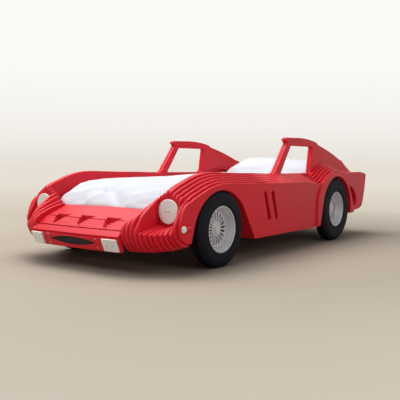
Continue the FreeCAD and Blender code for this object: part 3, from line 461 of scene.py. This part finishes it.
def hood_piece(node, lead):
    """Hood board with a shadow gap ahead of it and crisp terraces in its scoops.

    Its front face is the one that lies ahead of lead.
    """
    piece = copy_of(node, node + "_eased")
    bpy.ops.object.mode_set(mode="EDIT")
    pick(piece, lambda c, n: n.y < -0.7 and n.z < -0.15 and c.y < lead)
    bpy.ops.transform.translate(value=(0, HOOD_GAP, 0.001))
    bpy.ops.object.mode_set(mode="OBJECT")
    bevelled(piece, HOOD_EASE)
    apply_modifiers(piece)
    shaded(piece)
    return finish_piece(piece, node, RED)


hood_piece("hood_rear_board", -1.131)
hood_piece("hood_scoop_board", -1.190)


# ---- wheels --------------------------------------------------------------------------
TYRE_FACE = 0.590           # x of the outer sidewall
TYRE_WIDTH = 0.088
TREAD_GROOVES = (0.562, 0.5515, 0.5405, 0.530)
TREAD_HALF = 0.0275         # half width of the band of tread blocks
TURNS = 96                  # steps round a tyre or a rim
SPOKE_TURNS = 80            # steps round the plate that the spokes are cut from
SPOKE_SHARE = 4             # those that one spoke and its gap take
NUT_CIRCLE = 0.0335         # radius that the hub's nuts stand on
NUTS = 10


def tyre_rings(radius):
    """Section of a tyre: bead, sidewall with its two fine rings, shoulder and grooved tread."""
    side = [(TYRE_FACE - 0.005, 0.124), (TYRE_FACE - 0.0025, 0.1255), (TYRE_FACE - 0.0005, 0.129),
            (TYRE_FACE, 0.1335), (TYRE_FACE - 0.0016, 0.1355), (TYRE_FACE - 0.0016, 0.1375),
            (TYRE_FACE, 0.1395), (TYRE_FACE, 0.150), (TYRE_FACE - 0.0004, radius - 0.036),
            (TYRE_FACE - 0.0018, radius - 0.0345), (TYRE_FACE - 0.0018, radius - 0.033),
            (TYRE_FACE - 0.0008, radius - 0.031), (TYRE_FACE - 0.003, radius - 0.019),
            (TYRE_FACE - 0.009, radius - 0.0095), (TYRE_FACE - 0.0175, radius - 0.0036)]
    crown = []
    for place in TREAD_GROOVES:
        crown += [(place + 0.0021, radius - 0.0022), (place + 0.0016, radius - 0.0062),
                  (place - 0.0016, radius - 0.0062), (place - 0.0021, radius - 0.0022)]
    both_faces = 2 * TYRE_FACE - TYRE_WIDTH
    return side + crown + [(both_faces - x, ring) for x, ring in reversed(side)]


def make_tyre(name, node):
    """Tyre with raised tread blocks, standing on a small flat."""
    low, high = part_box(node)
    radius = (high.y - low.y) / 2
    hub = Vector((0, (low.y + high.y) / 2, high.z - radius))
    tyre = turned(name, hub, tyre_rings(radius), TURNS)
    alone(tyre)
    bpy.ops.object.mode_set(mode="EDIT")
    pick(tyre, lambda c, n: abs(c.x - TYRE_FACE + TYRE_WIDTH / 2) < TREAD_HALF
         and math.hypot(c.y - hub.y, c.z - hub.z) > radius - 0.0032)
    bpy.ops.mesh.inset(thickness=0.0013, depth=0.0022, use_individual=True, use_even_offset=True)
    bpy.ops.object.mode_set(mode="OBJECT")
    for vertex in tyre.data.vertices:
        vertex.co.z = max(vertex.co.z, 0.0)
    bpy.ops.object.shade_smooth_by_angle(angle=math.radians(32))
    return tyre


RIM_RINGS = [(0.5055, 0.1150), (0.5045, 0.1165), (0.5045, 0.1225), (0.5060, 0.1236),
             (0.5780, 0.1236), (0.5825, 0.1236), (0.5840, 0.1222), (0.5845, 0.1198),
             (0.5836, 0.1170), (0.5812, 0.1153), (0.5700, 0.1142), (0.5674, 0.1131),
             (0.5666, 0.1108), (0.5646, 0.1097), (0.5500, 0.1062), (0.5360, 0.1004),
             (0.5336, 0.0988), (0.5326, 0.0962), (0.5300, 0.0962), (0.5240, 0.0990),
             (0.5100, 0.1130)]
SPOKE_RINGS = [(0.5334, 0.0972), (0.5342, 0.0930), (0.5350, 0.0885), (0.5376, 0.0700),
               (0.5402, 0.0520), (0.5424, 0.0375), (0.5432, 0.0320), (0.5440, 0.0260)]
HUB_RINGS = [(0.5340, 0.0285), (0.5452, 0.0285), (0.5468, 0.0272), (0.5472, 0.0240),
             (0.5478, 0.0228), (0.5530, 0.0218), (0.5540, 0.0206), (0.5542, 0.0150),
             (0.5534, 0.0138), (0.5534, 0.0110), (0.5546, 0.0096), (0.5550, 0.0060),
             (0.5550, 0.0004)]


def make_spokes(name, hub):
    """Shallow cone of twenty tapered spokes, cut out of one turned plate."""
    plate = turned(name, hub, SPOKE_RINGS, SPOKE_TURNS, closed=False)
    alone(plate)
    bpy.ops.object.mode_set(mode="EDIT")

    def in_a_gap(c, n):
        radius = math.hypot(c.y - hub.y, c.z - hub.z)
        turn = math.degrees(math.atan2(c.z - hub.z, c.y - hub.y)) % 360 * SPOKE_TURNS / 360
        return 0.0375 * 0.99 < radius < 0.0885 and int(turn) % SPOKE_SHARE < SPOKE_SHARE / 2
    pick(plate, in_a_gap)
    bpy.ops.mesh.delete(type="FACE")
    bpy.ops.object.mode_set(mode="OBJECT")
    wall = plate.modifiers.new("wall", "SOLIDIFY")
    wall.thickness = 0.008
    wall.offset = 0
    bevelled(plate, 0.0016, 2, 40)
    apply_modifiers(plate)
    bpy.ops.object.mode_set(mode="EDIT")
    bpy.ops.mesh.select_all(action="SELECT")
    bpy.ops.mesh.normals_make_consistent(inside=False)
    bpy.ops.object.mode_set(mode="OBJECT")
    bpy.ops.object.shade_smooth_by_angle(angle=math.radians(35))
    return plate


def make_nut(hub, turn):
    """One of the hub's small nuts, a hexagon with a raised middle."""
    place = (0.5446, hub.y + NUT_CIRCLE * math.cos(turn), hub.z + NUT_CIRCLE * math.sin(turn))
    bpy.ops.object.select_all(action="DESELECT")
    bpy.ops.mesh.primitive_cylinder_add(vertices=6, radius=0.0036, depth=0.006, location=place,
                                        rotation=(0, math.pi / 2, 0))
    nut = bpy.context.active_object
    keep_place(nut)
    bpy.ops.object.mode_set(mode="EDIT")
    pick(nut, lambda c, n: n.x > 0.9)
    bpy.ops.mesh.inset(thickness=0.0009, depth=0.0)
    bpy.ops.transform.translate(value=(0.0009, 0, 0))
    bpy.ops.object.mode_set(mode="OBJECT")
    return nut


def joined(parts, name):
    alone(parts[0])
    for part in parts:
        part.select_set(True)
    bpy.ops.object.join()
    parts[0].name = name
    return parts[0]


def make_hub(name, hub):
    cap = capped(turned(name, hub, HUB_RINGS, 48, closed=False))
    bpy.ops.object.shade_smooth_by_angle(angle=math.radians(30))
    nuts = [make_nut(hub, math.radians(360 / NUTS * number)) for number in range(NUTS)]
    return joined([cap] + nuts, name)


low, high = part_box("rim_front_right")
front_hub = Vector((0, (low.y + high.y) / 2, (low.z + high.z) / 2))
barrel = turned("rim_barrel", front_hub, RIM_RINGS, TURNS)
alone(barrel)
bpy.ops.object.shade_smooth_by_angle(angle=math.radians(30))
rim = joined([barrel, make_spokes("rim_spokes", front_hub)], "rim_front_right_spoked")
hub_cap = make_hub("hub_front_right", front_hub)
for end in ("front", "rear"):
    tyre = make_tyre("tyre_%s_right_treaded" % end, "tyre_%s_right" % end)
    finish_piece(copied(tyre, "tyre_%s_left_treaded" % end, (0, 0, 0), True),
                 "tyre_%s_left" % end, RUBBER)
    finish_piece(tyre, "tyre_%s_right" % end, RUBBER)
    low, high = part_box("rim_%s_right" % end)
    shift = Vector((0, (low.y + high.y) / 2, (low.z + high.z) / 2)) - front_hub
    for side in ("left", "right"):
        if (end, side) != ("front", "right"):
            finish_piece(copied(rim, "rim_%s_%s_spoked" % (end, side), shift, side == "left"),
                         "rim_%s_%s" % (end, side), SILVER)
            finish_piece(copied(hub_cap, "hub_%s_%s" % (end, side), shift, side == "left"),
                         "hub_caps", SILVER)
finish_piece(rim, "rim_front_right", SILVER)
finish_piece(hub_cap, "hub_caps", SILVER)


# ---- indicators ----------------------------------------------------------------------
LENS_SETBACK = 0.0115       # of the lens's middle from the pods' outer side
LENS_RINGS = [(0.0000, 0.0160), (0.0052, 0.0160), (0.0064, 0.0152), (0.0067, 0.0142),
              (0.0052, 0.0131), (0.0052, 0.0122), (0.0070, 0.0112), (0.0080, 0.0060),
              (0.0082, 0.0003)]
low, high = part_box("indicator_lamps")
lens = capped(turned("indicator_lens_right", Vector((0, 0, 0)), LENS_RINGS, 32, closed=False))
lens.rotation_euler = (0, 0, math.radians(-90))
lens.location = (high.x - LENS_SETBACK, high.y, (low.z + high.z) / 2)
keep_place(lens)
bpy.ops.object.shade_smooth_by_angle(angle=math.radians(30))
finish_piece(copied(lens, "indicator_lens_left", (0, 0, 0), True), "indicator_lamps", WHITE)
finish_piece(lens, "indicator_lamps", WHITE)


# ---- bedding -------------------------------------------------------------------------
# Heights down the middle of the bed, as (y, z).
DUVET_TOP = [(-1.010, 0.300), (-0.980, 0.333), (-0.950, 0.362), (-0.900, 0.392), (-0.850, 0.420),
             (-0.800, 0.433), (-0.700, 0.443), (-0.600, 0.446), (-0.350, 0.449), (-0.090, 0.452),
             (0.250, 0.466), (0.450, 0.474), (0.600, 0.472), (0.660, 0.452)]
MATTRESS_TOP = [(-0.960, 0.322), (-0.930, 0.346), (-0.900, 0.364), (-0.850, 0.390),
                (-0.800, 0.402), (-0.740, 0.4054), (1.100, 0.4054)]
HEM = 0.272                 # height of the duvet's hem, past the foot of the mattress
FOOT_END = -0.955           # ahead of this the duvet hangs
FLAT_HALF = 0.36            # the duvet's top falls off outside this
SIDE_HALF = 0.447
SIDE_FALL = 0.034
FILLING_FRAMES = 20
LOFT = 0.04                 # height of the block that the duvet starts as


def along_bed(table, y):
    """Height from a table of (y, z), on a straight line between its points."""
    if y <= table[0][0]:
        return table[0][1]
    for (start, low), (end, high) in zip(table, table[1:]):
        if y <= end:
            return low + (high - low) * (y - start) / (end - start)
    return table[-1][1]


def duvet_top(x, y):
    outside = max(0.0, (abs(x) - FLAT_HALF) / (SIDE_HALF - FLAT_HALF))
    return along_bed(DUVET_TOP, y) - SIDE_FALL * outside ** 2


def mattress_top(x, y):
    """Top of the mattress, kept below the duvet where the duvet falls off."""
    return min(along_bed(MATTRESS_TOP, y), duvet_top(x, y) - 0.012)


def duvet_foot(x, y):
    """Underside of the duvet: on the mattress, and down to the hem past its foot end."""
    return HEM if y < FOOT_END else mattress_top(x, y) + 0.001


def blank(name, low, high, corner, voxel):
    """Closed block at a soft piece's place, with round corners and an even fine weave."""
    bpy.ops.object.select_all(action="DESELECT")
    bpy.ops.mesh.primitive_cube_add(size=1, location=(low + high) / 2, scale=high - low)
    piece = bpy.context.active_object
    piece.name = name
    keep_place(piece)
    bpy.ops.object.mode_set(mode="EDIT")
    bpy.ops.mesh.select_mode(type="EDGE")
    bpy.ops.mesh.select_all(action="DESELECT")
    cage = bmesh.from_edit_mesh(piece.data)
    for edge in cage.edges:
        run = edge.verts[1].co - edge.verts[0].co
        edge.select_set(abs(run.x) + abs(run.y) < 0.001)
    cage.select_flush_mode()
    bmesh.update_edit_mesh(piece.data)
    bpy.ops.mesh.bevel(offset=corner, segments=5)
    bpy.ops.object.mode_set(mode="OBJECT")
    return woven(piece, voxel)


def woven(piece, voxel):
    weave = piece.modifiers.new("weave", "REMESH")
    weave.mode = "VOXEL"
    weave.voxel_size = voxel
    apply_modifiers(piece)
    return piece


def filled(piece, pressure, spare, reach, room):
    """Fill a cover with air, let its spare cloth wrinkle, and keep it near where it was."""
    start = [vertex.co.copy() for vertex in piece.data.vertices]
    cloth = piece.modifiers.new("filling", "CLOTH")
    settings = cloth.settings
    settings.quality = 6
    settings.mass = 0.3
    settings.tension_stiffness = 12
    settings.compression_stiffness = 12
    settings.shear_stiffness = 4
    settings.bending_stiffness = 0.25
    settings.use_pressure = True
    settings.uniform_pressure_force = pressure
    settings.shrink_min = -spare
    settings.effector_weights.gravity = 0
    cloth.collision_settings.use_collision = False
    cloth.point_cache.frame_start = 1
    cloth.point_cache.frame_end = FILLING_FRAMES
    for number in range(1, FILLING_FRAMES + 1):
        bpy.context.scene.frame_set(number)
    apply_modifiers(piece)
    for vertex, place in zip(piece.data.vertices, start):
        move = vertex.co - place
        vertex.co = place + move * min(1.0, reach / max(move.length, 1e-9))
        vertex.co = room(vertex.co)
    piece.data.update()
    return piece


def smoothed(piece):
    finer = piece.modifiers.new("finer", "SUBSURF")
    finer.levels = finer.render_levels = 1
    apply_modifiers(piece)
    bpy.ops.object.shade_smooth()


def near_line(point, start, end):
    """Distance from a point to a line between two points, all seen from above."""
    run = end - start
    share = min(1.0, max(0.0, (point - start).dot(run) / run.length_squared))
    return (point - start - run * share).length


# Each fold as (start, end, half width, height), seen from above.
FOLDS = [((-0.402, -0.968), (-0.231, -0.926), 0.014, 0.010),
         ((-0.231, -0.926), (-0.15, -0.88), 0.018, 0.006),
         ((-0.31, -0.995), (-0.19, -0.978), 0.010, -0.010),
         ((-0.17, -0.80), (-0.095, -0.892), 0.030, -0.012),
         ((-0.095, -0.892), (0.10, -0.990), 0.026, -0.020),
         ((-0.17, -0.978), (-0.05, -0.925), 0.015, 0.008),
         ((0.22, -0.986), (0.31, -0.978), 0.009, -0.009),
         ((0.16, -0.94), (0.33, -0.90), 0.020, 0.007),
         ((0.02, -0.90), (0.20, -0.82), 0.024, 0.006),
         ((-0.36, -0.88), (-0.25, -0.78), 0.022, 0.005),
         ((-0.28, -0.55), (-0.05, -0.42), 0.026, -0.006),
         ((0.05, -0.35), (0.30, -0.20), 0.030, 0.006),
         ((-0.30, -0.10), (-0.02, 0.06), 0.028, -0.006),
         ((0.08, 0.20), (0.33, 0.28), 0.024, -0.006),
         ((-0.20, 0.36), (0.16, 0.44), 0.026, 0.006),
         ((-0.36, 0.22), (-0.22, 0.40), 0.022, -0.005)]


def fold(piece):
    """Press the larger folds of the duvet into its upper side."""
    for vertex in piece.data.vertices:
        flat = Vector((vertex.co.x, vertex.co.y))
        if vertex.co.z - duvet_foot(vertex.co.x, vertex.co.y) > 0.012:
            for start, end, width, height in FOLDS:
                away = near_line(flat, Vector(start), Vector(end)) / width
                vertex.co.z += height * math.exp(-away * away)


def duvet_room(co):
    """Keep the duvet on the mattress, between the boards and below its tallest folds."""
    low = duvet_foot(co.x, co.y)
    x = max(-0.4475, min(0.4475, co.x))
    y = max(-1.0045, min(0.664, co.y))
    return Vector((x, y, max(low, min(duvet_top(x, y) + 0.008, co.z))))


def make_duvet():
    """Duvet drawn from a thin block, laid over the mattress, filled and folded."""
    low, high = Vector((-0.442, -1.000, 0.0)), Vector((0.442, 0.657, LOFT))
    piece = blank("duvet", low, high, 0.03, 0.0115)
    for vertex in piece.data.vertices:
        share = vertex.co.z / LOFT
        x, y = vertex.co.x, vertex.co.y
        bottom = duvet_foot(x, y)
        vertex.co.z = bottom + share * (duvet_top(x, y) - 0.003 - bottom)
    fold(filled(piece, 4.0, 0.05, 0.012, duvet_room))
    smoothed(piece)
    return finish_piece(piece, "quilt", LINEN)


def mattress_room(co):
    """Keep the mattress in its well and under the duvet."""
    return Vector((max(-0.4515, min(0.4515, co.x)), max(-0.950, min(1.056, co.y)),
                   max(0.2552, min(mattress_top(co.x, co.y), co.z))))


def make_mattress():
    """Foam mattress in ticking, its foot end rounded off under the duvet."""
    low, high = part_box("mattress")
    piece = blank("mattress_ticked", low + Vector((0.003, 0.003, 0.002)),
                  high - Vector((0.003, 0.003, 0.002)), 0.04, 0.018)
    for vertex in piece.data.vertices:
        share = (vertex.co.z - low.z) / (high.z - low.z)
        top = mattress_top(vertex.co.x, vertex.co.y)
        vertex.co.z = low.z + share * (top - low.z)
    filled(piece, 3.0, 0.0, 0.004, mattress_room)
    smoothed(piece)
    return finish_piece(piece, "mattress", TICKING)


def pillow_room(co):
    """Keep the pillow on the mattress, between the duvet and the head board."""
    return Vector((max(-0.436, min(0.436, co.x)), max(0.662, min(1.058, co.y)),
                   max(0.4062, min(0.606, co.z))))


def make_pillow():
    """Pillow filled from the CAD one, a little lower towards its right side."""
    piece = copy_of("pillow", "pillow_feathered")
    low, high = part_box("pillow")
    for vertex in piece.data.vertices:
        share = min(1.0, max(0.0, (vertex.co.x + 0.19) / 0.10))
        vertex.co.z -= 0.009 * share * (vertex.co.z - low.z) / (high.z - low.z)
    woven(piece, 0.009)
    filled(piece, 4.0, 0.04, 0.010, pillow_room)
    smoothed(piece)
    return finish_piece(piece, "pillow", LINEN)


make_mattress()
make_duvet()
make_pillow()
bpy.context.scene.frame_set(1)


# ---- studio --------------------------------------------------------------------------
def level(red, green, blue):
    """Colour given in screen levels, as the shaders take it."""
    def linear(value):
        value /= 255
        return value / 12.92 if value < 0.04045 else ((value + 0.055) / 1.055) ** 2.4
    return (linear(red), linear(green), linear(blue), 1)


def studio():
    """Plain pale floor, darker near the bed and with a painted shadow round it, that runs without
    a line into a pale wall of light.
    """
    bpy.ops.object.select_all(action="DESELECT")
    bpy.ops.mesh.primitive_plane_add(size=160, location=(0, 0, 0))
    floor = bpy.context.active_object
    floor.name = "studio_floor"
    paint = Finish("studio_paper", {"Roughness": 0.9, "Specular IOR Level": 0.1})
    away = paint.node("VectorMath", {"operation": "LENGTH"}, {0: paint.place}, "Value")
    grain = paint.noise(60.0, 2.0)
    near = paint.blend(paint.band(away + grain * 0.1, 1.5, 3.4), level(181, 171, 156),
                       level(214, 206, 192))
    # Painted shadow: ambient occlusion blends the floor's colour towards near black where the bed
    # stands close over it.
    painted_shadow = paint.node("AmbientOcclusion", {"samples": 8}, {"Distance": 0.32}, "AO")
    paint.wear(colour=paint.blend(painted_shadow ** 0.8, level(40, 38, 34), near))
    far = paint.node("ValToRGB", {"stops": [
        (0.0, level(203, 193, 176)), (0.12, level(214, 205, 189)), (0.25, level(221, 212, 198)),
        (0.5, level(227, 219, 206)), (1.0, level(231, 224, 213))]},
        {"Fac": paint.band(away, 1.6, 16.0)})
    glow = paint.node("Emission", {}, {"Color": far})
    fade = paint.band(away, 1.7, 3.6) * paint.seen_directly()
    mixed = paint.node("MixShader", {}, {0: fade, 2: glow})
    paint.tree.links.new(paint.shader.outputs[0], mixed.socket.node.inputs[1])
    paint.tree.links.new(mixed.socket, paint.tree.nodes["Material Output"].inputs["Surface"])
    dress(floor, paint.material)


def surround():
    """Even light from all round, and the pale sweep that is seen behind the bed."""
    world = bpy.data.worlds.new("studio_surround")
    bpy.context.scene.world = world
    world.use_nodes = True
    sky = Graph(world.node_tree)
    height = sky.node("SeparateXYZ", {}, {0: sky.node("TexCoord", {}, {}, "Generated")}, "Z")
    sweep = sky.node("ValToRGB", {"stops": [
        (0.0, level(231, 224, 213)), (0.028, level(235, 232, 226)), (0.063, level(243, 240, 235)),
        (0.097, level(246, 244, 240)), (0.17, level(252, 250, 246)), (1.0, level(254, 253, 251))]},
        {"Fac": height})
    wall = sky.node("Background", {}, {"Color": sweep, "Strength": 1.0})
    light = world.node_tree.nodes["Background"]
    light.inputs["Color"].default_value = (0.93, 0.93, 0.95, 1)
    light.inputs["Strength"].default_value = 0.22
    mixed = sky.node("MixShader", {}, {0: sky.seen_directly(), 2: wall})
    sky.tree.links.new(light.outputs[0], mixed.socket.node.inputs[1])
    sky.tree.links.new(mixed.socket, sky.tree.nodes["World Output"].inputs["Surface"])


def lamp(name, place, aim, size, power, colour):
    light = bpy.data.lights.new(name, "AREA")
    light.shape = "RECTANGLE"
    light.size, light.size_y = size
    light.energy = power
    light.color = colour
    thing = bpy.data.objects.new(name, light)
    bpy.context.scene.collection.objects.link(thing)
    thing.location = place
    thing.rotation_euler = (Vector(aim) - Vector(place)).to_track_quat("-Z", "Y").to_euler()
    thing.visible_camera = False


studio()
surround()
lamp("overhead_softbox", (-1.3, -0.3, 4.3), (0, 0, 0.3), (3.6, 4.6), 225, (1.0, 0.985, 0.97))
lamp("front_softbox", (-2.0, -4.4, 3.7), (0, -0.6, 0.3), (2.4, 1.8), 78, (1.0, 0.98, 0.97))
lamp("side_softbox", (3.6, -1.4, 1.7), (0.3, 0, 0.3), (2.4, 1.8), 28, (1.0, 0.98, 0.97))
bpy.context.scene.view_settings.view_transform = "Standard"
